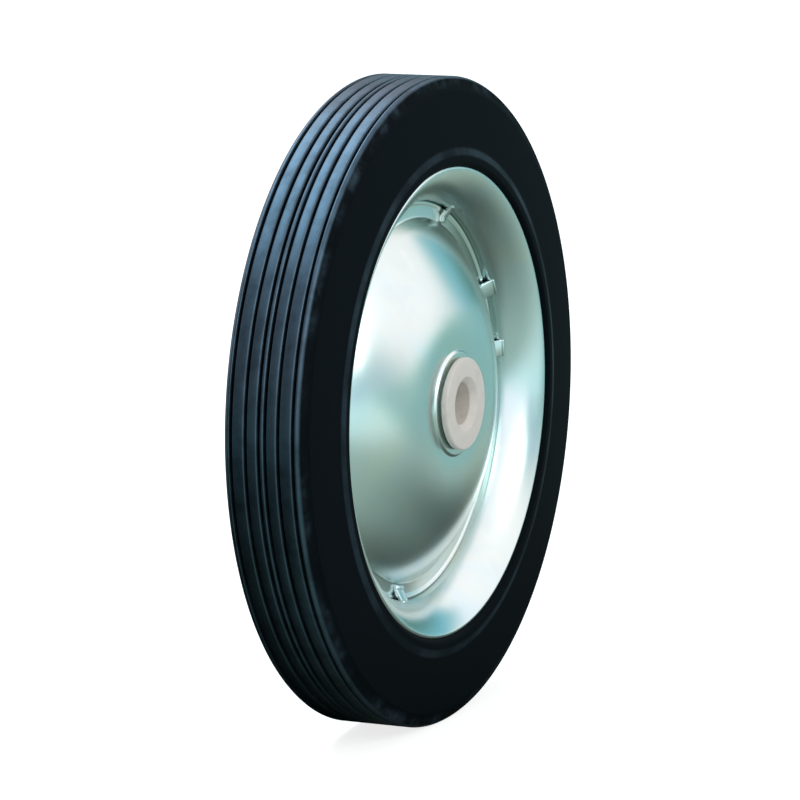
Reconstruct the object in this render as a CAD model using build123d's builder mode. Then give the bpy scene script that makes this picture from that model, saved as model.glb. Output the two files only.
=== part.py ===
from build123d import *
import os

# Solid rubber wheel of the 12 x 1.75 inch class, in millimetres.
# The origin is the wheel's centre and the axle lies along Y. The front is the -Y side.
# Each round piece is a profile of radius against axial distance, turned about the axle.

# Tyre, whose widths are full widths from side to side
tyre_radius = 152.4
tyre_width = 46.4
tyre_mouth_radius = 111.2
shoulder_radius = 148.4
shoulder_width = 38.8
sidewall_top_radius = 145.6
sidewall_top_width = 41.6
sidewall_crown = 400.0
shoulder_crown = 6.0
groove_places = (1.6, 8.0, 15.3)
groove_width = 1.7
groove_floor_width = 0.9
groove_depth = 2.2
tread_half_width = 17.0

# Rim, a rolled steel channel that is open towards the tyre
rim_seat_radius = 94.0
rim_sheet = 1.6
rim_seat_half_width = 7.3
rim_side_radius = 15.7
rim_side_sweep = 85.0
bead_radius = 2.2
bead_sweep = 65.0
bead_gap = 0.6

# Tabs cut from the rim's seat and bent down on the discs
front_tab_angles = (7, 27, 67, 115, 160, 205, 258)
tab_width = 8.0
tab_clearance = 0.3
tab_root = 5.8
tab_knee_radius = 89.6
tab_tip_radius = 87.2
tab_bend = 2.2
tab_inset = 0.1
tab_window_end = -3.3

# Discs, two domed steel pressings that stand back to back
disc_sheet = 2.0
disc_skirt_height = 3.2
disc_skirt_bend = 0.8
dome_base_radius = 85.9
dome_base_bend = 2.0
dome_radius = 78.0
dome_top_radius = 24.9
dome_top_height = 24.6
seat_radius = 24.2
seat_height = 25.8
seat_bend = 0.5
collar_end = 17.0
collar_bend = 1.0

# Hub tube, with its ends turned over the discs' seats, and its two nylon bushes
hub_tube_radius = 15.0
hub_tube_bore = 13.0
hub_lip_radius = 18.2
hub_lip_thickness = 1.2
hub_width = 60.0
bush_flange_radius = 21.7
bush_barrel_end = 4.0
bush_edge = 1.0
bore_radius = 10.0
bore_mouth_radius = 12.8

# The two sides of the wheel, each drawn with radius across and axial distance outwards
FRONT = Plane(origin=(0, 0, 0), x_dir=(1, 0, 0), z_dir=(0, 0, -1))
REAR = Plane.XY
SIDES = {"front": FRONT, "rear": REAR}

os.makedirs("parts", exist_ok=True)


def side_axis(plane):
    """The axle's axis, pointing out of the wheel on one side."""
    return Axis((0, 0, 0), plane.y_dir)


def turns(angles):
    """Places about the axle, each an angle from +X towards +Z."""
    return [Location((0, 0, 0), (0, -angle, 0)) for angle in angles]


# The rear tabs stand halfway between the front ones.
rear_tab_angles = [
    (angle + following) / 2
    for angle, following in zip(front_tab_angles, front_tab_angles[1:] + (front_tab_angles[0] + 360,))
]
TAB_TURNS = {"front": turns(front_tab_angles), "rear": turns(rear_tab_angles)}

# One tab and the window that it was cut from, for each side. A tab is flat across its width,
# so its back starts a little inside the round back of the sheet.
tab_back_radius = rim_seat_radius + rim_sheet - tab_inset
tabs = {}
windows = {}
for side, plane in SIDES.items():
    with BuildPart() as window:
        with BuildSketch(plane):
            with Locations((rim_seat_radius + rim_sheet / 2, tab_window_end)):
                Rectangle(2 * rim_sheet, tab_root - tab_window_end, align=(Align.CENTER, Align.MIN))
        extrude(amount=tab_width / 2 + tab_clearance, both=True)
    windows[side] = window.part

    with BuildPart() as tab:
        with BuildSketch(plane):
            with BuildLine():
                FilletPolyline(
                    (tab_back_radius, rim_seat_half_width),
                    (tab_back_radius, tab_root),
                    (tab_knee_radius, disc_sheet),
                    (tab_tip_radius, disc_sheet),
                    radius=tab_bend,
                )
                offset(amount=rim_sheet, side=Side.RIGHT)
            make_face()
        extrude(amount=tab_width / 2, both=True)
    tabs[side] = tab.part

# Rim: half of the channel as a sheet of even thickness, mirrored, with its windows and tabs
with BuildPart() as rim:
    with BuildSketch(Plane.XY):
        with BuildLine():
            seat = Line((rim_seat_radius, 0), (rim_seat_radius, rim_seat_half_width))
            wall = JernArc(seat @ 1, seat % 1, rim_side_radius, -rim_side_sweep)
            JernArc(wall @ 1, wall % 1, bead_radius, -bead_sweep)
            offset(amount=rim_sheet, side=Side.RIGHT)
        make_face()
        mirror(about=Plane.XZ)
    revolve(axis=Axis.Y)
    for side in SIDES:
        with Locations(TAB_TURNS[side]):
            add(windows[side], mode=Mode.SUBTRACT)
    for side in SIDES:
        with Locations(TAB_TURNS[side]):
            add(tabs[side])

rim.part.label = "rim"
export_step(rim.part, "parts/rim.step")

# Tyre: it fills the channel up to the bead, and its tread has three grooves on each side
tyre_bore_radius = rim_seat_radius + rim_sheet
with BuildPart() as tyre:
    with BuildSketch(Plane.XY):
        with BuildLine():
            bore = Line((tyre_bore_radius, 0), (tyre_bore_radius, rim_seat_half_width))
            wall = JernArc(bore @ 1, bore % 1, rim_side_radius - rim_sheet, -rim_side_sweep)
            under_bead = JernArc(wall @ 1, wall % 1, bead_radius - rim_sheet, -bead_sweep)
            across_bead = Vector(0, 0, 1).cross(under_bead % 1)
            bead_wall = PolarLine(under_bead @ 1, rim_sheet + bead_gap, direction=across_bead)
            mouth = Line(bead_wall @ 1, (tyre_mouth_radius, tyre_width / 2))
            side_top = (sidewall_top_radius, sidewall_top_width / 2)
            sidewall = RadiusArc(mouth @ 1, side_top, -sidewall_crown)
            shoulder = Line(sidewall @ 1, (shoulder_radius, shoulder_width / 2))
            crown = RadiusArc(shoulder @ 1, (tyre_radius, tread_half_width), -shoulder_crown)
            Polyline(crown @ 1, (tyre_radius, 0), bore @ 0)
        make_face()
        with Locations(*[(tyre_radius, place) for place in groove_places]):
            Polygon(
                (0, -groove_width / 2),
                (-groove_depth, -groove_floor_width / 2),
                (-groove_depth, groove_floor_width / 2),
                (0, groove_width / 2),
                align=None,
                mode=Mode.SUBTRACT,
            )
        mirror(about=Plane.XZ)
    revolve(axis=Axis.Y)

tyre.part.label = "tyre"
export_step(tyre.part, "parts/tyre.step")

# Discs: a skirt in the rim's seat, a flat flange, the dome, and a raised seat for the hub
skirt_radius = rim_seat_radius - disc_sheet
disc_bends = {
    (skirt_radius, disc_sheet): disc_skirt_bend,
    (dome_base_radius, disc_sheet): dome_base_bend,
    (dome_top_radius, dome_top_height): seat_bend,
    (seat_radius, seat_height): seat_bend,
    (hub_tube_radius, seat_height): collar_bend,
}
for side, plane in SIDES.items():
    with BuildPart() as disc:
        with BuildSketch(plane) as sheet:
            with BuildLine():
                Polyline(
                    (skirt_radius, disc_skirt_height),
                    (skirt_radius, disc_sheet),
                    (dome_base_radius, disc_sheet),
                )
                RadiusArc((dome_base_radius, disc_sheet), (dome_top_radius, dome_top_height), -dome_radius)
                Polyline(
                    (dome_top_radius, dome_top_height),
                    (seat_radius, seat_height),
                    (hub_tube_radius, seat_height),
                    (hub_tube_radius, collar_end),
                )
                offset(amount=disc_sheet, side=Side.LEFT)
            make_face()
            for corner, bend in disc_bends.items():
                fillet(sheet.vertices().sort_by_distance(corner)[0], bend)
        revolve(axis=Axis.Y)
    disc.part.label = f"{side}_disc"
    export_step(disc.part, f"parts/{side}_disc.step")

# Hub tube: its ends are turned over the discs' seats and hold the two discs together
lip_height = seat_height + hub_lip_thickness
with BuildPart() as hub_tube:
    with BuildSketch(Plane.XY) as section:
        with BuildLine():
            Polyline(
                (hub_tube_bore, 0),
                (hub_tube_bore, lip_height),
                (hub_lip_radius, lip_height),
                (hub_lip_radius, seat_height),
                (hub_tube_radius, seat_height),
                (hub_tube_radius, 0),
                close=True,
            )
        make_face()
        fillet(section.vertices().sort_by_distance((hub_lip_radius, lip_height))[0], hub_lip_thickness / 2)
        mirror(about=Plane.XZ)
    revolve(axis=Axis.Y)

hub_tube.part.label = "hub_tube"
export_step(hub_tube.part, "parts/hub_tube.step")

# Bushes: a barrel pressed into the tube, and a flange whose face is the end of the hub
bore_mouth_depth = bore_mouth_radius - bore_radius
for side, plane in SIDES.items():
    with BuildPart() as bush:
        with BuildSketch(plane):
            with BuildLine():
                Polyline(
                    (bore_radius, bush_barrel_end),
                    (bore_radius, hub_width / 2 - bore_mouth_depth),
                    (bore_mouth_radius, hub_width / 2),
                    (bush_flange_radius, hub_width / 2),
                    (bush_flange_radius, lip_height),
                    (hub_tube_bore, lip_height),
                    (hub_tube_bore, bush_barrel_end),
                    close=True,
                )
            make_face()
        revolve(axis=Axis.Y)
        flange_edge = bush.edges().filter_by(GeomType.CIRCLE).sort_by(SortBy.RADIUS)[-2:]
        fillet(flange_edge.sort_by(side_axis(plane))[-1], bush_edge)
    bush.part.label = f"{side}_bush"
    export_step(bush.part, f"parts/{side}_bush.step")
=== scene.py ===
import math

import bmesh
import bpy
from bpy.props import FloatProperty, FloatVectorProperty, IntProperty, PointerProperty
from mathutils import Matrix, Vector


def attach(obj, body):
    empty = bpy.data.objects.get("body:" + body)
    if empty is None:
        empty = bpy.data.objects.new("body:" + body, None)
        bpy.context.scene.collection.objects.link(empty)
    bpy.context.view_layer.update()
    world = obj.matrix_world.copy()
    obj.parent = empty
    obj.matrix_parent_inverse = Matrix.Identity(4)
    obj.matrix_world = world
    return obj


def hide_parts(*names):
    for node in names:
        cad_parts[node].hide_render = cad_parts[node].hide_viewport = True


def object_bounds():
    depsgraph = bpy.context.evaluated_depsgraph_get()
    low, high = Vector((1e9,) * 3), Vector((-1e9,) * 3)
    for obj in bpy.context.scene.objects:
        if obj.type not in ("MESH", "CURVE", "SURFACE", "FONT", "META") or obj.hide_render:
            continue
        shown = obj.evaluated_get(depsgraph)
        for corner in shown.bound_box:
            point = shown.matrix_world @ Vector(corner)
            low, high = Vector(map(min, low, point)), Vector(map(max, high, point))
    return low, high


bl_info = {
    "name": "Solid rubber wheel",
    "version": (1, 0, 0),
    "blender": (4, 5, 0),
    "location": "View3D > Sidebar > Wheel",
    "description": "Finishes a solid rubber wheel with a pressed steel rim, domed discs and nylon bushes",
    "category": "Add Mesh",
}

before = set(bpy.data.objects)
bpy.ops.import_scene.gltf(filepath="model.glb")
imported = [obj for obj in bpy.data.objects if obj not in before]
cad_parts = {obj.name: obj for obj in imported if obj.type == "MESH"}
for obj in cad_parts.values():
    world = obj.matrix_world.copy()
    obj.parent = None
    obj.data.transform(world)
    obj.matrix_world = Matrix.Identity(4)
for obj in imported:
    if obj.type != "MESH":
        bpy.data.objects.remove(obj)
CAD_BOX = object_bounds()
MM = 0.001
BODY = "root"
FRONT, REAR = -1, 1

# Angles of the tabs that hold the front disc, from +X towards +Z
FRONT_TAB_ANGLES = (7, 27, 67, 115, 160, 205, 258)
NARROW_TABS = {67: 0.45}


def length(name, millimetres, description):
    """A property that holds a length."""
    return FloatProperty(
        name=name, description=description, default=millimetres * MM, unit="LENGTH", subtype="DISTANCE", precision=4
    )


def colour(name, rgb, description):
    """A property that holds a colour."""
    return FloatVectorProperty(
        name=name, description=description, default=rgb, size=3, subtype="COLOR", min=0.0, max=1.0
    )


class WheelTyreSettings(bpy.types.PropertyGroup):
    """Sizes and colour of the rubber."""

    steps: IntProperty(name="Steps", description="Faces round the wheel", default=300)
    radius: length("Tread radius", 152.4, "Radius of the running surface")
    half_width: length("Half width", 23.2, "Half the width where the rubber meets the rim")
    mouth_radius: length("Mouth radius", 111.2, "Radius where the side meets the rim's bead")
    shoulder_radius: length("Shoulder radius", 148.4, "Radius of the shoulder's ridge")
    shoulder_half_width: length("Shoulder half width", 19.4, "Half the width at the shoulder's ridge")
    side_radius: length("Side radius", 145.6, "Radius where the side begins")
    side_half_width: length("Side half width", 20.8, "Half the width where the side begins")
    groove_width: length("Groove width", 1.7, "Width of a tread groove at the surface")
    groove_floor: length("Groove floor", 0.9, "Width of a tread groove at its floor")
    groove_depth: length("Groove depth", 2.2, "Depth of a tread groove")
    rubber: colour("Rubber", (0.0020, 0.0042, 0.0058), "Colour of the moulded rubber")
    # Partly the tread's wear and partly a painted sheen: where the tyre turns metallic this colour tints its
    # reflection bluish.
    rubbed_sheen: colour("Rubbed rubber", (0.052, 0.090, 0.118), "Colour of the tread's rubbed ribs")


class WheelSteelSettings(bpy.types.PropertyGroup):
    """Sizes and colour of the plated steel."""

    rim_sheet: length("Rim sheet", 1.6, "Thickness of the rim's steel")
    seat_radius: length("Seat radius", 94.0, "Radius of the rim's inner seat, on which the discs stand")
    seat_bend: length("Seat bend", 3.0, "Radius of the bend at the edge of that seat")
    mouth_radius: length("Mouth radius", 110.9, "Radius at which the rolled edge ends")
    face: length("Face", 22.35, "Distance of the rolled edge from the middle plane")
    bead_radius: length("Bead radius", 1.7, "Radius of the rolled edge")
    disc_sheet: length("Disc sheet", 2.0, "Thickness of the discs' steel")
    zinc: colour("Zinc", (0.56, 0.65, 0.63), "Colour of the zinc plate")


class WheelHubSettings(bpy.types.PropertyGroup):
    """Sizes and colour of the hub."""

    half_width: length("Half width", 30.0, "Half the hub's width over the bushes' faces")
    bore_radius: length("Bore radius", 10.0, "Radius of the axle's bore")
    mouth_radius: length("Mouth radius", 12.8, "Radius of the bore's flared mouth")
    flange_radius: length("Flange radius", 21.7, "Radius of a bush's flange")
    nylon: colour("Nylon", (0.80, 0.76, 0.70), "Colour of the moulded nylon")


class WheelStageSettings(bpy.types.PropertyGroup):
    """The camera's place and the plain stage."""

    azimuth: FloatProperty(
        name="Azimuth", description="Side that the camera stands on", default=math.radians(-64.78), subtype="ANGLE"
    )
    elevation: FloatProperty(
        name="Elevation", description="Height of the camera", default=math.radians(9.56), subtype="ANGLE"
    )
    roll: FloatProperty(
        name="Roll", description="Turn of the camera about its line of sight", default=math.radians(-0.62),
        subtype="ANGLE",
    )
    distance: length("Distance", 2126.0, "Distance from the camera to the wheel's centre")
    lens: FloatProperty(name="Lens", description="Focal length on a 36 mm frame, in mm", default=203.9)
    shift: FloatProperty(name="Shift", description="Sideways shift of the picture", default=-0.0103)
    floor: colour("Floor", (0.55, 0.57, 0.56), "Colour of the floor")
    floor_tint: colour("Floor tint", (0.79, 1.0, 0.90), "What the floor throws on the steel")
    far_tint: colour("Far tint", (0.55, 1.0, 1.0), "What the floor further off throws on the steel")
    teal_wall: colour("Teal wall", (0.24, 0.68, 0.80), "What the far end of the studio throws on the steel")
    dark_wall: colour("Dark wall", (0.10, 0.25, 0.20), "What the middle of that end throws on the steel")
    front_wall: colour("Front wall", (0.54, 0.76, 0.86), "What the studio's open front throws on the steel")
    bright_wall: FloatVectorProperty(
        name="Bright wall", description="What the studio's white walls throw on the steel",
        default=(1.60, 1.48, 1.58), size=3, min=0.0,
    )
    ambient: colour("Ambient", (0.44, 0.45, 0.46), "Even light from all round")
    top_power: FloatProperty(name="Top strip", description="Power of the strip lamp overhead, in W", default=12.0)
    front_power: FloatProperty(name="Front lamp", description="Power of the softbox in front, in W", default=8.0)


# Node trees

class Socket:
    """A node's output that can be used in a Python expression."""

    def __init__(self, graph, socket):
        self.graph = graph
        self.socket = socket

    def _maths(self, operation, first, second=None):
        values = {0: first} if second is None else {0: first, 1: second}
        return self.graph.node("ShaderNodeMath", {"operation": operation}, values)

    def __add__(self, other):
        return self._maths("ADD", self, other)

    def __radd__(self, other):
        return self._maths("ADD", other, self)

    def __sub__(self, other):
        return self._maths("SUBTRACT", self, other)

    def __rsub__(self, other):
        return self._maths("SUBTRACT", other, self)

    def __mul__(self, other):
        return self._maths("MULTIPLY", self, other)

    def __rmul__(self, other):
        return self._maths("MULTIPLY", other, self)

    def __truediv__(self, other):
        return self._maths("DIVIDE", self, other)

    def __pow__(self, other):
        return self._maths("POWER", self, other)

    def __abs__(self):
        return self._maths("ABSOLUTE", self)


class Graph:
    """A node tree that is written as expressions."""

    def __init__(self, tree):
        self.tree = tree
        tree.nodes.clear()

    def node(self, kind, settings=None, values=None, output=0):
        """Adds a node: its settings first, then the values or links of its sockets."""
        made = self.tree.nodes.new(kind)
        for name, value in (settings or {}).items():
            if name == "stops":
                self._ramp(made, value)
            else:
                setattr(made, name, value)
        for name, value in (values or {}).items():
            target = made.inputs[name]
            if isinstance(value, Socket):
                self.tree.links.new(value.socket, target)
            else:
                target.default_value = value
        return Socket(self, made.outputs[output] if made.outputs else None)

    def _ramp(self, made, stops):
        elements = made.color_ramp.elements
        while len(elements) < len(stops):
            elements.new(0.5)
        for element, (position, value) in zip(elements, stops):
            element.position = position
            element.color = (*value, 1.0) if isinstance(value, tuple) else (value, value, value, 1.0)

    def ramp(self, factor, *stops):
        """A value or colour that follows factor through the stops."""
        return self.node("ShaderNodeValToRGB", {"stops": stops}, {0: factor})

    def band(self, value, low, high, start=0.0, end=1.0):
        """A smooth step of value from start at low to end at high."""
        return self.node(
            "ShaderNodeMapRange",
            {"interpolation_type": "SMOOTHSTEP"},
            {"Value": value, "From Min": low, "From Max": high, "To Min": start, "To Max": end},
        )

    def mix(self, factor, first, second):
        """A colour between two colours."""
        made = self.tree.nodes.new("ShaderNodeMix")
        made.data_type = "RGBA"
        for target, value in ((made.inputs[0], factor), (made.inputs[6], first), (made.inputs[7], second)):
            if isinstance(value, Socket):
                self.tree.links.new(value.socket, target)
            else:
                target.default_value = value if isinstance(value, (int, float)) else (*value, 1.0)
        return Socket(self, made.outputs[2])

    def noise(self, vector, scale, detail=2.0, roughness=0.5, distortion=0.0, output=0):
        """Noise between 0 and 1."""
        return self.node(
            "ShaderNodeTexNoise",
            {"noise_dimensions": "3D"},
            {"Vector": vector, "Scale": scale, "Detail": detail, "Roughness": roughness, "Distortion": distortion},
            output,
        )


def new_surface(name):
    """A material, its graph, and its Object coordinates."""
    material = bpy.data.materials.new(name)
    material.use_nodes = True
    graph = Graph(material.node_tree)
    place = graph.node("ShaderNodeTexCoord", output=3)
    return material, graph, place


def finish_surface(graph, shader):
    graph.node("ShaderNodeOutputMaterial", values={"Surface": shader})


def coordinates(graph, vector):
    """The three numbers of a vector."""
    split = graph.tree.nodes.new("ShaderNodeSeparateXYZ")
    graph.tree.links.new(vector.socket, split.inputs[0])
    return [Socket(graph, split.outputs[i]) for i in range(3)]


def axle_radius(graph, place):
    """Distance from the axle, and the three coordinates."""
    x, y, z = coordinates(graph, place)
    return (x * x + z * z) ** 0.5, x, y, z


# Surfaces

def rubber_surface(tyre):
    """Moulded black rubber: dull on its sides; on the tread's ribs partly wear and partly a painted sheen, a bluish
    metallic colour that stands in for the light's sheen, with a faint painted sheen ring near the mouth.
    """
    material, graph, place = new_surface("moulded_rubber")
    radius, x, y, z = axle_radius(graph, place)
    cloud = graph.noise(place, 22.0, 4.0, 0.6)
    smear = graph.noise(place, 75.0, 4.0, 0.65)
    grain = graph.noise(place, 2600.0, 2.0, 0.6)
    crown = graph.band(radius, tyre.radius - 0.0016, tyre.radius - 0.0004)
    shoulder = graph.band(radius, tyre.side_radius, tyre.shoulder_radius + 0.0008)
    # Dust patches on the shoulder, which also carry the painted sheen.
    dust_and_sheen = 0.55 * graph.band(smear, 0.40, 0.75) * graph.band(cloud, 0.35, 0.70)
    # A painted sheen ring on the side near the rim's mouth.
    ring = graph.band(radius, 0.1150, 0.1165) * graph.band(radius, 0.1185, 0.1200, 1.0, 0.0)
    # Painted sheen, partly wear: the crown, the shoulder's dust patches and the ring near the mouth turn metallic
    # with the bluish sheen colour.
    wear_and_sheen = crown + (1 - crown) * shoulder * dust_and_sheen + ring * graph.band(cloud, 0.35, 0.65, 0.1, 0.4)
    patchy_wear_and_sheen = wear_and_sheen * graph.band(smear, 0.15, 0.65, 0.45, 1.0)
    base = graph.mix(patchy_wear_and_sheen, tyre.rubber, tyre.rubbed_sheen)
    height = 0.5 * grain + 0.6 * cloud + 0.4 * smear
    bump = graph.node("ShaderNodeBump", values={"Strength": 0.25, "Distance": 0.00015, "Height": height})
    shader = graph.node(
        "ShaderNodeBsdfPrincipled",
        values={
            "Base Color": base,
            "Metallic": wear_and_sheen,
            "Roughness": 0.62 - 0.22 * wear_and_sheen,
            "IOR": 1.09,
            "Normal": bump,
        },
    )
    finish_surface(graph, shader)
    return material


def zinc_surface(settings):
    """Bright zinc plate on pressed sheet: a faint spangle, a drift of tint, and fine press marks."""
    material, graph, place = new_surface("zinc_plate")
    radius, x, y, z = axle_radius(graph, place)
    drift = graph.noise(place, 14.0, 3.0, 0.55, 0.6)
    patch = graph.noise(place, 45.0, 3.0, 0.55)
    fine = graph.noise(place, 500.0, 2.0, 0.6)
    zinc = tuple(settings.zinc)
    warm = (zinc[0] * 1.02, zinc[1], zinc[2] * 0.95)
    cool = (zinc[0] * 0.92, zinc[1] * 0.99, zinc[2] * 1.03)
    tint = graph.mix(graph.band(drift, 0.35, 0.65), warm, cool)
    base = graph.mix(graph.band(patch, 0.50, 0.75, 0.0, 0.30), tint, tuple(c * 0.86 for c in zinc))
    roughness = 0.19 + 0.07 * patch + 0.02 * fine
    wave = graph.noise(place, 26.0, 1.0, 0.4)
    bump = graph.node("ShaderNodeBump", values={"Strength": 1.0, "Distance": 0.00025, "Height": wave})
    shader = graph.node(
        "ShaderNodeBsdfPrincipled",
        values={"Base Color": base, "Metallic": 1.0, "Roughness": roughness, "Normal": bump},
    )
    finish_surface(graph, shader)
    return material


def nylon_surface(settings):
    """Cream moulded nylon with fine pores and faint grime."""
    material, graph, place = new_surface("moulded_nylon")
    speck = graph.noise(place, 700.0, 3.0, 0.7)
    grime = graph.noise(place, 130.0, 3.0, 0.6)
    nylon = tuple(settings.nylon)
    base = graph.mix(graph.band(grime, 0.45, 0.8, 0.0, 0.6), nylon, tuple(c * 0.8 for c in nylon))
    base = graph.mix(graph.band(speck, 0.62, 0.72, 0.0, 0.5), base, tuple(c * 0.62 for c in nylon))
    bump = graph.node("ShaderNodeBump", values={"Strength": 0.4, "Distance": 0.0002, "Height": speck})
    shader = graph.node(
        "ShaderNodeBsdfPrincipled",
        values={"Base Color": base, "Roughness": 0.5, "Subsurface Weight": 0.1, "Subsurface Radius": (0.002,) * 3,
                "Normal": bump},
    )
    finish_surface(graph, shader)
    return material


# Profiles: points of radius and axial place, in metres

def curve_points(centre, radius, start, sweep, count):
    """Points along an arc, with its angles in degrees from the radius axis towards the axle's axis."""
    angles = (math.radians(start + sweep * i / count) for i in range(count + 1))
    return [(centre[0] + radius * math.cos(a), centre[1] + radius * math.sin(a)) for a in angles]


def rounded(corners, count=5):
    """An open line through corners of (x, y, bend), with each bend as an arc."""
    points = [corners[0][:2]]
    for before, corner, after in zip(corners, corners[1:], corners[2:]):
        here = Vector(corner[:2])
        back = (Vector(before[:2]) - here).normalized()
        on = (Vector(after[:2]) - here).normalized()
        half = back.angle(on) / 2
        if corner[2] <= 0 or half > math.radians(89.5):
            points.append(tuple(here))
            continue
        reach = corner[2] / math.tan(half)
        middle = here + (back + on).normalized() * corner[2] / math.sin(half)
        first = here + back * reach - middle
        last = here + on * reach - middle
        turn = first.angle_signed(last)
        for i in range(count + 1):
            spun = first.copy()
            spun.rotate(Matrix.Rotation(-turn * i / count, 2))
            points.append(tuple(middle + spun))
    points.append(corners[-1][:2])
    return points


def thickened(line, sheet, edge_steps=4):
    """The closed outline of a sheet whose one side is line and whose other side lies to the line's right."""
    count = len(line)
    rights = []
    for i in range(count):
        before = Vector(line[max(i - 1, 0)])
        after = Vector(line[min(i + 1, count - 1)])
        along = (after - before).normalized()
        rights.append(Vector((along.y, -along.x)))
    points = [Vector(p) for p in line]
    other = [p + r * sheet for p, r in zip(points, rights)]
    outline = list(points)
    for index, side, ahead in ((-1, 1, 1), (0, -1, -1)):
        middle = points[index] + rights[index] * sheet / 2
        right = rights[index] * sheet / 2
        along = Vector((-right.y, right.x)) * ahead * 0.5
        cap = []
        for i in range(1, edge_steps):
            angle = math.pi * i / edge_steps
            cap.append(middle - right * math.cos(angle) * side + along * math.sin(angle))
        if index == -1:
            outline += cap + other[::-1]
        else:
            outline += cap
    return [tuple(p) for p in outline]


def mirrored(half):
    """A closed outline from its half on the positive side, both ends of which lie on the middle plane."""
    return half + [(x, -y) for x, y in half[-2:0:-1]]


def on_side(outline, side):
    """An outline of the positive side, turned over for the front, in anticlockwise order."""
    if side == REAR:
        return outline
    return [(x, -y) for x, y in outline[::-1]]


# Meshes

TURN_RADIUS = 0.05
TAB_RING = 0.09


def turning_tree():
    """Geometry nodes that turn a closed outline about the axle into a ring."""
    tree = bpy.data.node_groups.new("Turned ring", "GeometryNodeTree")
    for name, kind in (("Outline", "NodeSocketGeometry"), ("Steps", "NodeSocketInt"), ("Surface", "NodeSocketMaterial")):
        tree.interface.new_socket(name, in_out="INPUT", socket_type=kind)
    tree.interface.new_socket("Ring", in_out="OUTPUT", socket_type="NodeSocketGeometry")
    graph = Graph(tree)
    source = tree.nodes.new("NodeGroupInput")
    outline, steps, surface = (Socket(graph, source.outputs[i]) for i in range(3))
    path = graph.node("GeometryNodeCurvePrimitiveCircle", values={"Resolution": steps, "Radius": TURN_RADIUS})
    section = graph.node("GeometryNodeMeshToCurve", values={"Mesh": outline})
    ring = graph.node("GeometryNodeCurveToMesh", values={"Curve": path, "Profile Curve": section})
    upright = graph.node(
        "GeometryNodeTransform", values={"Geometry": ring, "Rotation": (math.radians(90), 0, 0)}
    )
    real = graph.node("GeometryNodeRealizeInstances", values={"Geometry": upright})
    painted = graph.node("GeometryNodeSetMaterial", values={"Geometry": real, "Material": surface})
    graph.node("NodeGroupOutput", values={"Ring": painted})
    return tree


def turned(name, outline, steps, material):
    """A ring turned about the axle from a closed outline of (radius, axial place)."""
    tree = bpy.data.node_groups.get("Turned ring") or turning_tree()
    mesh = bpy.data.meshes.new(name)
    points = [(x - TURN_RADIUS, y, 0.0) for x, y in outline]
    edges = [(i, (i + 1) % len(points)) for i in range(len(points))]
    mesh.from_pydata(points, edges, [])
    piece = bpy.data.objects.new(name, mesh)
    bpy.context.scene.collection.objects.link(piece)
    modifier = piece.modifiers.new("Turned ring", "NODES")
    modifier.node_group = tree
    for socket in tree.interface.items_tree:
        if socket.in_out == "INPUT" and socket.name == "Steps":
            modifier[socket.identifier] = steps
        if socket.in_out == "INPUT" and socket.name == "Surface":
            modifier[socket.identifier] = material
    return plain(piece, material)


def plain(piece, material):
    """Turns a piece's modifiers into a plain mesh."""
    bpy.context.view_layer.update()
    evaluated = piece.evaluated_get(bpy.context.evaluated_depsgraph_get())
    result = bpy.data.meshes.new_from_object(evaluated)
    piece.modifiers.clear()
    piece.data = result
    result.materials.clear()
    result.materials.append(material)
    for polygon in result.polygons:
        polygon.material_index = 0
    result.shade_smooth()
    result.name = piece.name
    return piece


def seat_piece(piece, slot, *nodes):
    """Gives a finished piece its body and hides the CAD nodes that it stands for; slot is not used."""
    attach(piece, BODY)
    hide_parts(*nodes)


def sharpen(piece, degrees=32.0):
    """Smooth shading that keeps edges sharper than an angle."""
    piece.data.shade_smooth()
    mesh = bmesh.new()
    mesh.from_mesh(piece.data)
    limit = math.radians(degrees)
    for edge in mesh.edges:
        edge.smooth = not (len(edge.link_faces) == 2 and edge.calc_face_angle(0.0) > limit)
    mesh.to_mesh(piece.data)
    mesh.free()


# Tyre

GROOVE_PLACES = (1.6, 8.0, 15.3)


def tyre_outline(tyre, steel):
    """Half of the tyre from the middle of its tread round to the middle of its seat."""
    half_mouth = tyre.groove_width / 2
    half_floor = tyre.groove_floor / 2
    lip, toe = 0.8 * MM, 0.25 * MM
    floor = tyre.radius - tyre.groove_depth
    corners = [(tyre.radius, 0.0, 0.0)]
    for place in GROOVE_PLACES:
        middle = place * MM
        corners += [
            (tyre.radius, middle - half_mouth, lip),
            (floor, middle - half_floor, toe),
            (floor, middle + half_floor, toe),
            (tyre.radius, middle + half_mouth, lip),
        ]
    crown_start = (GROOVE_PLACES[-1] * MM + tyre.groove_width)
    corners += [
        (tyre.radius, crown_start, 2.0 * MM),
        (tyre.radius - 1.3 * MM, crown_start + 1.6 * MM, 1.5 * MM),
        (tyre.shoulder_radius, tyre.shoulder_half_width, 0.35 * MM),
        (tyre.side_radius, tyre.side_half_width, 1.5 * MM),
        (128.0 * MM, 22.35 * MM, 60.0 * MM),
        (119.5 * MM, 22.9 * MM, 8.0 * MM),
        (116.0 * MM, tyre.half_width + 0.6 * MM, 3.0 * MM),
        (112.6 * MM, tyre.half_width + 0.7 * MM, 1.5 * MM),
        (tyre.mouth_radius, tyre.half_width - 0.2 * MM, 0.8 * MM),
        (tyre.mouth_radius - 0.3 * MM, tyre.half_width - 1.0 * MM, 0.2 * MM),
        (108.8 * MM, 21.1 * MM, 0.0),
    ]
    points = rounded(corners, 4)
    wall = rim_wall(steel)
    behind = thickened([(steel.seat_radius, 0.0)] + wall, steel.rim_sheet + 0.05 * MM, 1)
    hidden = behind[len(wall) + 1:len(wall) + 1 + len(wall) - 3]
    points += hidden
    points.append((steel.seat_radius + steel.rim_sheet + 0.05 * MM, 0.0))
    return mirrored(points)


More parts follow.
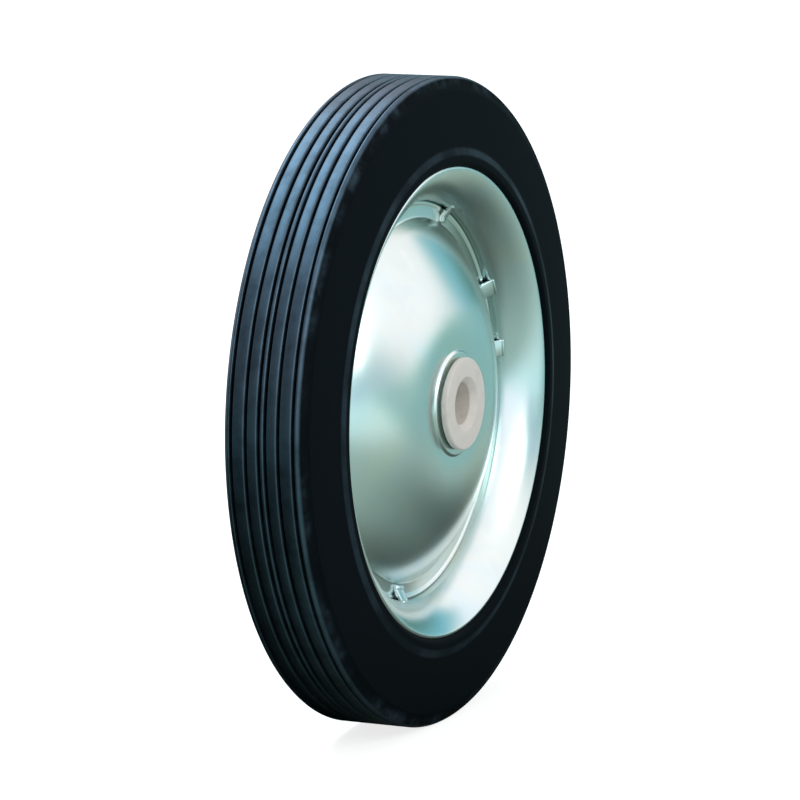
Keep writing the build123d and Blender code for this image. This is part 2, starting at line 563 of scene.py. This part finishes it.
class WHEEL_OT_tyre(bpy.types.Operator):
    """Turn the solid rubber tyre with its tread grooves"""

    bl_idname = "wheel.tyre"
    bl_label = "Tyre"

    def execute(self, context):
        tyre = context.scene.wheel_tyre
        steel = context.scene.wheel_steel
        material = rubber_surface(tyre)
        piece = turned("rubber_tyre", tyre_outline(tyre, steel), tyre.steps, material)
        sharpen(piece, 40.0)
        seat_piece(piece, "tyre", "tyre")
        return {"FINISHED"}


# Steel

def rim_wall(steel):
    """The seen side of the rim's wall, from the edge of its seat to the end of its rolled bead."""
    slope_start, slope_end = 162.0, 114.0
    bead = (steel.mouth_radius - steel.bead_radius * math.cos(math.radians(30)), steel.face - steel.bead_radius)
    roll = curve_points(bead, steel.bead_radius, slope_end, 30.0 - slope_end, 8)
    bend = steel.seat_bend * (1 + math.cos(math.radians(slope_start)))
    spread = math.cos(math.radians(slope_end)) - math.cos(math.radians(slope_start))
    slope = (roll[0][0] - steel.seat_radius - bend) / spread
    end = math.radians(slope_end)
    centre = (roll[0][0] - slope * math.cos(end), roll[0][1] - slope * math.sin(end))
    wall = curve_points(centre, slope, slope_start, slope_end - slope_start, 20)
    start = math.radians(slope_start)
    foot = (steel.seat_radius + steel.seat_bend, wall[0][1] - steel.seat_bend * math.sin(start))
    return curve_points(foot, steel.seat_bend, 180.0, slope_start - 180.0, 4)[:-1] + wall + roll[1:]


def rim_outline(steel):
    """The rim's sheet, from its seen side outwards."""
    half = [(steel.seat_radius, 0.0)] + rim_wall(steel)
    seen = [(x, -y) for x, y in half[:0:-1]] + half
    return thickened(seen, steel.rim_sheet)


def tab_mesh(steel, material):
    """One tab at angle 0 for the rear, bent from the rim's seat down on the disc."""
    back = steel.seat_radius + steel.rim_sheet - 0.1 * MM
    line = rounded(
        [
            (back, 7.3 * MM, 0.0),
            (back, 5.8 * MM, 2.2 * MM),
            (89.6 * MM, steel.disc_sheet, 2.2 * MM),
            (87.2 * MM, steel.disc_sheet, 0.0),
        ],
        5,
    )
    outline = thickened(line, steel.rim_sheet, 4)
    mesh = bmesh.new()
    half_width = 4.0 * MM
    rows = [[mesh.verts.new((x - TAB_RING, y, z)) for x, y in outline] for z in (-half_width, half_width)]
    count = len(outline)
    for i in range(count):
        j = (i + 1) % count
        mesh.faces.new((rows[0][i], rows[0][j], rows[1][j], rows[1][i]))
    mesh.faces.new(rows[0][::-1])
    mesh.faces.new(rows[1])
    bmesh.ops.recalc_face_normals(mesh, faces=mesh.faces)
    data = bpy.data.meshes.new("tab")
    mesh.to_mesh(data)
    mesh.free()
    tab = bpy.data.objects.new("tab", data)
    bpy.context.scene.collection.objects.link(tab)
    bevel = tab.modifiers.new("Edges", "BEVEL")
    bevel.width = 0.3 * MM
    bevel.segments = 3
    bevel.limit_method = "ANGLE"
    bevel.angle_limit = math.radians(50)
    return plain(tab, material)


def window_block(side):
    """The block that cuts one window at angle 0 in the rim's seat."""
    near, far = sorted((-1.5 * MM * side, 5.8 * MM * side))
    low, high = 93.0 * MM - TAB_RING, 97.0 * MM - TAB_RING
    half_width = 4.3 * MM
    mesh = bmesh.new()
    bmesh.ops.create_cube(mesh, size=1.0)
    for vertex in mesh.verts:
        x, y, z = vertex.co
        vertex.co = (high if x > 0 else low, far if y > 0 else near, half_width if z > 0 else -half_width)
    data = bpy.data.meshes.new("window")
    mesh.to_mesh(data)
    mesh.free()
    block = bpy.data.objects.new("window", data)
    bpy.context.scene.collection.objects.link(block)
    return block


def ring_tree(shape):
    """Geometry nodes that stand a copy of a shape on each point of a ring about the axle."""
    tree = bpy.data.node_groups.new("Copies about the axle", "GeometryNodeTree")
    tree.interface.new_socket("Points", in_out="INPUT", socket_type="NodeSocketGeometry")
    tree.interface.new_socket("Surface", in_out="INPUT", socket_type="NodeSocketMaterial")
    tree.interface.new_socket("Copies", in_out="OUTPUT", socket_type="NodeSocketGeometry")
    graph = Graph(tree)
    source = tree.nodes.new("NodeGroupInput")
    points, surface = (Socket(graph, source.outputs[i]) for i in range(2))
    outwards = graph.node("GeometryNodeInputPosition")
    turn = graph.node("FunctionNodeAlignRotationToVector", {"axis": "X", "pivot_axis": "Y"}, {"Vector": outwards})
    model = graph.node("GeometryNodeObjectInfo", values={"Object": shape}, output=4)
    size = graph.node("GeometryNodeInputNamedAttribute", {"data_type": "FLOAT_VECTOR"}, {"Name": "size"})
    copies = graph.node(
        "GeometryNodeInstanceOnPoints", values={"Points": points, "Instance": model, "Rotation": turn, "Scale": size}
    )
    real = graph.node("GeometryNodeRealizeInstances", values={"Geometry": copies})
    painted = graph.node("GeometryNodeSetMaterial", values={"Geometry": real, "Material": surface})
    graph.node("NodeGroupOutput", values={"Copies": painted})
    return tree


def ring_of(name, shape, angles, material):
    """A piece made of copies of a shape at the given angles about the axle."""
    mesh = bpy.data.meshes.new(name)
    turns = [math.radians(angle) for angle in angles]
    mesh.from_pydata([(TAB_RING * math.cos(a), 0, TAB_RING * math.sin(a)) for a in turns], [], [])
    sizes = mesh.attributes.new("size", "FLOAT_VECTOR", "POINT")
    for entry, angle in zip(sizes.data, angles):
        entry.vector = (1.0, 1.0, NARROW_TABS.get(angle, 1.0))
    piece = bpy.data.objects.new(name, mesh)
    bpy.context.scene.collection.objects.link(piece)
    tree = ring_tree(shape)
    modifier = piece.modifiers.new("Copies", "NODES")
    modifier.node_group = tree
    for socket in tree.interface.items_tree:
        if socket.in_out == "INPUT" and socket.name == "Surface":
            modifier[socket.identifier] = material
    plain(piece, material)
    bpy.data.objects.remove(shape)
    return piece


class WHEEL_OT_rim(bpy.types.Operator):
    """Roll the channel rim and bend its tabs"""

    bl_idname = "wheel.rim"
    bl_label = "Rim"

    def execute(self, context):
        steel = context.scene.wheel_steel
        steps = context.scene.wheel_tyre.steps
        material = bpy.data.materials.get("zinc_plate") or zinc_surface(steel)
        rim = turned("channel_rim", rim_outline(steel), steps, material)
        after = FRONT_TAB_ANGLES[1:] + (FRONT_TAB_ANGLES[0] + 360,)
        rear_angles = [(a + b) / 2 for a, b in zip(FRONT_TAB_ANGLES, after)]
        for name, angles, side in (("front_tabs", FRONT_TAB_ANGLES, FRONT), ("rear_tabs", rear_angles, REAR)):
            tab = tab_mesh(steel, material)
            if side == FRONT:
                tab.data.transform(Matrix.Diagonal((1, -1, 1, 1)))
                tab.data.flip_normals()
            piece = ring_of(name, tab, angles, material)
            sharpen(piece, 40.0)
            seat_piece(piece, "plated_steel", "rim")
            windows = ring_of("windows", window_block(side), angles, material)
            cut = rim.modifiers.new("Windows", "BOOLEAN")
            cut.operation = "DIFFERENCE"
            cut.object = windows
            plain(rim, material)
            bpy.data.objects.remove(windows)
        sharpen(rim, 40.0)
        seat_piece(rim, "plated_steel", "rim")
        return {"FINISHED"}


def disc_outline(steel):
    """A disc of the rear side: skirt, flange, dome, seat and the collar round the tube."""
    sheet = steel.disc_sheet
    skirt = steel.seat_radius - sheet
    base = (85.9 * MM, sheet)
    top = (24.9 * MM, 24.6 * MM)
    radius = 78.0 * MM
    chord = Vector(top) - Vector(base)
    rise = math.sqrt(radius ** 2 - (chord.length / 2) ** 2)
    middle = (Vector(base) + Vector(top)) / 2
    across = Vector((chord.y, -chord.x)).normalized()
    centre = middle - across * rise if across.y > 0 else middle + across * rise
    start = math.degrees(math.atan2(base[1] - centre.y, base[0] - centre.x))
    end = math.degrees(math.atan2(top[1] - centre.y, top[0] - centre.x))
    dome = curve_points(tuple(centre), radius, start, end - start, 40)
    corners = [(skirt + 0.9 * MM, 2.9 * MM, 0.0), (skirt - 0.6 * MM, sheet, 1.6 * MM)]
    line = rounded(corners + [(*dome[0], 1.6 * MM), (*dome[3], 0.0)], 5)[:-1]
    line += dome[3:-1]
    tail = rounded(
        [
            (*dome[-2], 0.0),
            (*dome[-1], 0.6 * MM),
            (24.2 * MM, 25.8 * MM, 0.7 * MM),
            (15.0 * MM, 25.8 * MM, 1.0 * MM),
            (15.0 * MM, 17.0 * MM, 0.0),
        ],
        5,
    )
    return line, tail[1:]


class WHEEL_OT_discs(bpy.types.Operator):
    """Press the two domed discs"""

    bl_idname = "wheel.discs"
    bl_label = "Discs"

    def execute(self, context):
        steel = context.scene.wheel_steel
        material = bpy.data.materials.get("zinc_plate") or zinc_surface(steel)
        line, tail = disc_outline(steel)
        seen = (line + tail)[::-1]
        for name, node, side in (("front_dome", "front_disc", FRONT), ("rear_dome", "rear_disc", REAR)):
            outline = on_side(thickened(seen, steel.disc_sheet), side)
            piece = turned(name, outline, context.scene.wheel_tyre.steps, material)
            sharpen(piece, 45.0)
            seat_piece(piece, "plated_steel", node)
        return {"FINISHED"}


# Hub

class WHEEL_OT_hub(bpy.types.Operator):
    """Turn the hub tube and mould its bushes"""

    bl_idname = "wheel.hub"
    bl_label = "Hub"

    def execute(self, context):
        hub = context.scene.wheel_hub
        steel = context.scene.wheel_steel
        zinc = bpy.data.materials.get("zinc_plate") or zinc_surface(steel)
        nylon = nylon_surface(hub)
        half = rounded(
            [
                (15.0 * MM, 0.0, 0.0),
                (15.0 * MM, 25.8 * MM, 0.3 * MM),
                (18.2 * MM, 25.8 * MM, 0.3 * MM),
                (18.2 * MM, 27.0 * MM, 0.5 * MM),
                (13.0 * MM, 27.0 * MM, 0.3 * MM),
                (13.0 * MM, 0.0, 0.0),
            ],
            4,
        )
        tube = turned("swaged_tube", mirrored(half), 180, zinc)
        sharpen(tube, 40.0)
        seat_piece(tube, "plated_steel", "hub_tube")
        face = hub.half_width
        bush = rounded(
            [
                (hub.bore_radius, 15.0 * MM, 0.0),
                (hub.bore_radius, 4.0 * MM, 0.4 * MM),
                (13.0 * MM, 4.0 * MM, 0.5 * MM),
                (13.0 * MM, 27.0 * MM, 0.1 * MM),
                (hub.flange_radius, 27.0 * MM, 0.5 * MM),
                (hub.flange_radius, face, 1.1 * MM),
                (hub.mouth_radius, face, 0.8 * MM),
                (hub.bore_radius, face - 2.8 * MM, 1.2 * MM),
                (hub.bore_radius, 15.0 * MM, 0.0),
            ],
            5,
        )[:-1]
        for name, node, side in (("front_nylon", "front_bush", FRONT), ("rear_nylon", "rear_bush", REAR)):
            piece = turned(name, on_side(bush, side), 180, nylon)
            sharpen(piece, 40.0)
            seat_piece(piece, "nylon", node)
        return {"FINISHED"}


# Stage

def ray_kinds(graph):
    """Whether a ray comes from the camera, and whether it comes from a polished or a clear surface."""
    path = graph.tree.nodes.new("ShaderNodeLightPath")
    camera, glossy, clear = (
        Socket(graph, path.outputs[f"Is {kind} Ray"]) for kind in ("Camera", "Glossy", "Transmission")
    )
    return camera, graph.node("ShaderNodeMath", {"operation": "MAXIMUM"}, {0: glossy, 1: clear})


def level_distance(graph, place, centre=(0.0, 0.0, 0.0)):
    """Level distance from a place on the floor."""
    offset = graph.node("ShaderNodeVectorMath", {"operation": "SUBTRACT"}, {0: place, 1: centre})
    level = graph.node("ShaderNodeVectorMath", {"operation": "MULTIPLY"}, {0: offset, 1: (1.0, 1.0, 0.0)})
    return graph.node("ShaderNodeVectorMath", {"operation": "LENGTH"}, {0: level}, 1)


def floor_surface(stage):
    """A pale floor that the camera sees as white, and the steel as a grey-green that is dark in the wheel's lee."""
    material, graph, place = new_surface("pale_floor")
    camera, polished = ray_kinds(graph)
    x, y, z = coordinates(graph, place)
    away = graph.band(level_distance(graph, place), 0.12, 1.10)
    diffuse = graph.node("ShaderNodeBsdfDiffuse", values={"Color": (*stage.floor, 1.0)})
    glow = graph.node(
        "ShaderNodeEmission", values={"Color": (1, 1, 1, 1), "Strength": camera * (0.78 + 0.22 * away)}
    )
    seen = graph.node("ShaderNodeAddShader", values={0: diffuse, 1: glow})
    lit = 0.14 + 0.50 * graph.band(level_distance(graph, place, (0.20, -0.05, 0.0)), 0.0, 0.40)
    lee = graph.band(y, -0.02, 0.06) * graph.band(y, 0.35, 0.90, 1.0, 0.0)
    lit = lit * (1 - 0.92 * lee)
    lit = lit * graph.band(level_distance(graph, place, (-0.02, 0.06, 0.0)), 0.04, 0.22)
    distance = level_distance(graph, place)
    front_left = graph.band(x, 0.20, 0.55, 1.0, 0.0) * graph.band(y, -0.85, -0.35, 1.0, 0.0)
    horizon = graph.band(distance, 2.0, 4.5) * graph.band(x / distance, 0.45, 0.70)
    horizon = horizon * graph.band(y / distance, -0.52, -0.42, 1.0, 0.0)
    tint = graph.mix(graph.band(distance, 0.5, 1.0), stage.floor_tint, stage.far_tint)
    green = graph.node("ShaderNodeEmission", values={"Color": tint, "Strength": lit})
    white = graph.node(
        "ShaderNodeEmission", values={"Color": (1, 1, 1, 1), "Strength": 0.7 * front_left + 0.7 * horizon}
    )
    mirrored_floor = graph.node("ShaderNodeAddShader", values={0: green, 1: white})
    finish_surface(graph, graph.node("ShaderNodeMixShader", values={0: polished, 1: seen, 2: mirrored_floor}))
    return material


def softbox(name, place, size, power, tint=(1.0, 1.0, 1.0), target=(0.0, 0.0, 0.0)):
    """A soft square lamp that faces the wheel."""
    light = bpy.data.lights.new(name, "AREA")
    light.shape = "RECTANGLE"
    light.size, light.size_y = size
    light.energy = power
    light.color = tint
    lamp = bpy.data.objects.new(name, light)
    lamp.location = place
    lamp.rotation_euler = (Vector(target) - Vector(place)).to_track_quat("-Z", "Y").to_euler()
    bpy.context.scene.collection.objects.link(lamp)
    return lamp


def studio_world(stage):
    """A white background for the camera, studio walls for polished surfaces, and even light for the rest."""
    world = bpy.data.worlds.new("studio")
    bpy.context.scene.world = world
    world.use_nodes = True
    world.cycles.sampling_method = "NONE"
    graph = Graph(world.node_tree)
    camera, polished = ray_kinds(graph)
    direction = graph.node("ShaderNodeTexCoord")

    def towards(axis, low, high):
        """How nearly a ray points along axis, as a smooth step between two cosines."""
        along = graph.node(
            "ShaderNodeVectorMath", {"operation": "DOT_PRODUCT"}, {0: direction, 1: Vector(axis).normalized()}, 1
        )
        return graph.band(along, low, high)

    x, y, z = coordinates(graph, direction)
    behind = graph.band(y, 0.12, 0.36) * (graph.band(x, -1.0, 0.3, 0.95, 0.0) + graph.band(x, 0.66, 0.86, 0.0, 0.85))
    walls = graph.mix(behind, stage.bright_wall, (0.0, 0.0, 0.0))
    front = graph.band(y, -0.90, -0.75, 1.0, 0.0) * graph.band(x, -0.42, -0.25)
    front = front * graph.band(z + 0.62 * x, 0.15, 0.50, 1.0, 0.0)
    walls = graph.mix(front, walls, stage.front_wall)
    far_end = towards((0.99, -0.05, 0.20), 0.87, 0.94) * graph.band(z, 0.40, 0.56, 1.0, 0.0)
    walls = graph.mix(far_end, walls, stage.teal_wall)
    walls = graph.mix(towards((0.99, 0.10, 0.05), 0.90, 0.99), walls, stage.dark_wall)
    seen = graph.mix(polished, stage.ambient, walls)
    background = graph.node(
        "ShaderNodeBackground", values={"Color": graph.mix(camera, seen, (1.0, 1.0, 1.0)), "Strength": 1.0}
    )
    graph.node("ShaderNodeOutputWorld", values={"Surface": background})


class WHEEL_OT_stage(bpy.types.Operator):
    """Set the floor, the soft lamps and the camera"""

    bl_idname = "wheel.stage"
    bl_label = "Stage"

    def execute(self, context):
        scene = context.scene
        stage = scene.wheel_stage
        scene.view_settings.view_transform = "Standard"
        studio_world(stage)
        low = CAD_BOX[0]
        mesh = bpy.data.meshes.new("floor")
        reach = 12.0
        mesh.from_pydata(
            [(-reach, -reach, low[2]), (reach, -reach, low[2]), (reach, reach, low[2]), (-reach, reach, low[2])],
            [], [(0, 1, 2, 3)],
        )
        mesh.materials.append(floor_surface(stage))
        floor = bpy.data.objects.new("floor", mesh)
        scene.collection.objects.link(floor)
        softbox("top_strip", (0.0, 0.65, 1.25), (1.5, 0.5), stage.top_power, (0.78, 0.96, 1.12))
        softbox("front_softbox", (-0.45, -1.35, 0.75), (0.8, 0.8), stage.front_power)
        back = Vector((
            math.sin(stage.azimuth) * math.cos(stage.elevation),
            -math.cos(stage.azimuth) * math.cos(stage.elevation),
            math.sin(stage.elevation),
        ))
        right = Vector((math.cos(stage.azimuth), math.sin(stage.azimuth), 0.0))
        up = back.cross(right)
        turned_right = math.cos(stage.roll) * right + math.sin(stage.roll) * up
        turned_up = math.cos(stage.roll) * up - math.sin(stage.roll) * right
        data = bpy.data.cameras.new("camera")
        data.lens = stage.lens
        data.sensor_width = 36.0
        data.shift_x = stage.shift
        data.dof.use_dof = False
        camera = bpy.data.objects.new("camera", data)
        turn = Matrix((turned_right, turned_up, back)).transposed().to_4x4()
        camera.matrix_world = Matrix.Translation(back * stage.distance) @ turn
        scene.collection.objects.link(camera)
        scene.camera = camera
        return {"FINISHED"}


class WHEEL_PT_panel(bpy.types.Panel):
    """The wheel's settings and its steps"""

    bl_idname = "WHEEL_PT_panel"
    bl_label = "Solid rubber wheel"
    bl_space_type = "VIEW_3D"
    bl_region_type = "UI"
    bl_category = "Wheel"

    def draw(self, context):
        layout = self.layout
        for name in SETTINGS:
            settings = getattr(context.scene, name)
            box = layout.box()
            for key in settings.__annotations__:
                box.prop(settings, key)
        for step in STEPS:
            layout.operator(step.bl_idname)


SETTINGS = {
    "wheel_tyre": WheelTyreSettings,
    "wheel_steel": WheelSteelSettings,
    "wheel_hub": WheelHubSettings,
    "wheel_stage": WheelStageSettings,
}
STEPS = (WHEEL_OT_stage, WHEEL_OT_tyre, WHEEL_OT_rim, WHEEL_OT_discs, WHEEL_OT_hub)


def register():
    for name, group in SETTINGS.items():
        bpy.utils.register_class(group)
        setattr(bpy.types.Scene, name, PointerProperty(type=group))
    for step in STEPS:
        bpy.utils.register_class(step)
    bpy.utils.register_class(WHEEL_PT_panel)


def unregister():
    bpy.utils.unregister_class(WHEEL_PT_panel)
    for step in reversed(STEPS):
        bpy.utils.unregister_class(step)
    for name, group in SETTINGS.items():
        delattr(bpy.types.Scene, name)
        bpy.utils.unregister_class(group)


def main():
    register()
    bpy.ops.wheel.stage()
    bpy.ops.wheel.tyre()
    bpy.ops.wheel.rim()
    bpy.ops.wheel.discs()
    bpy.ops.wheel.hub()


if __name__ == "__main__":
    main()
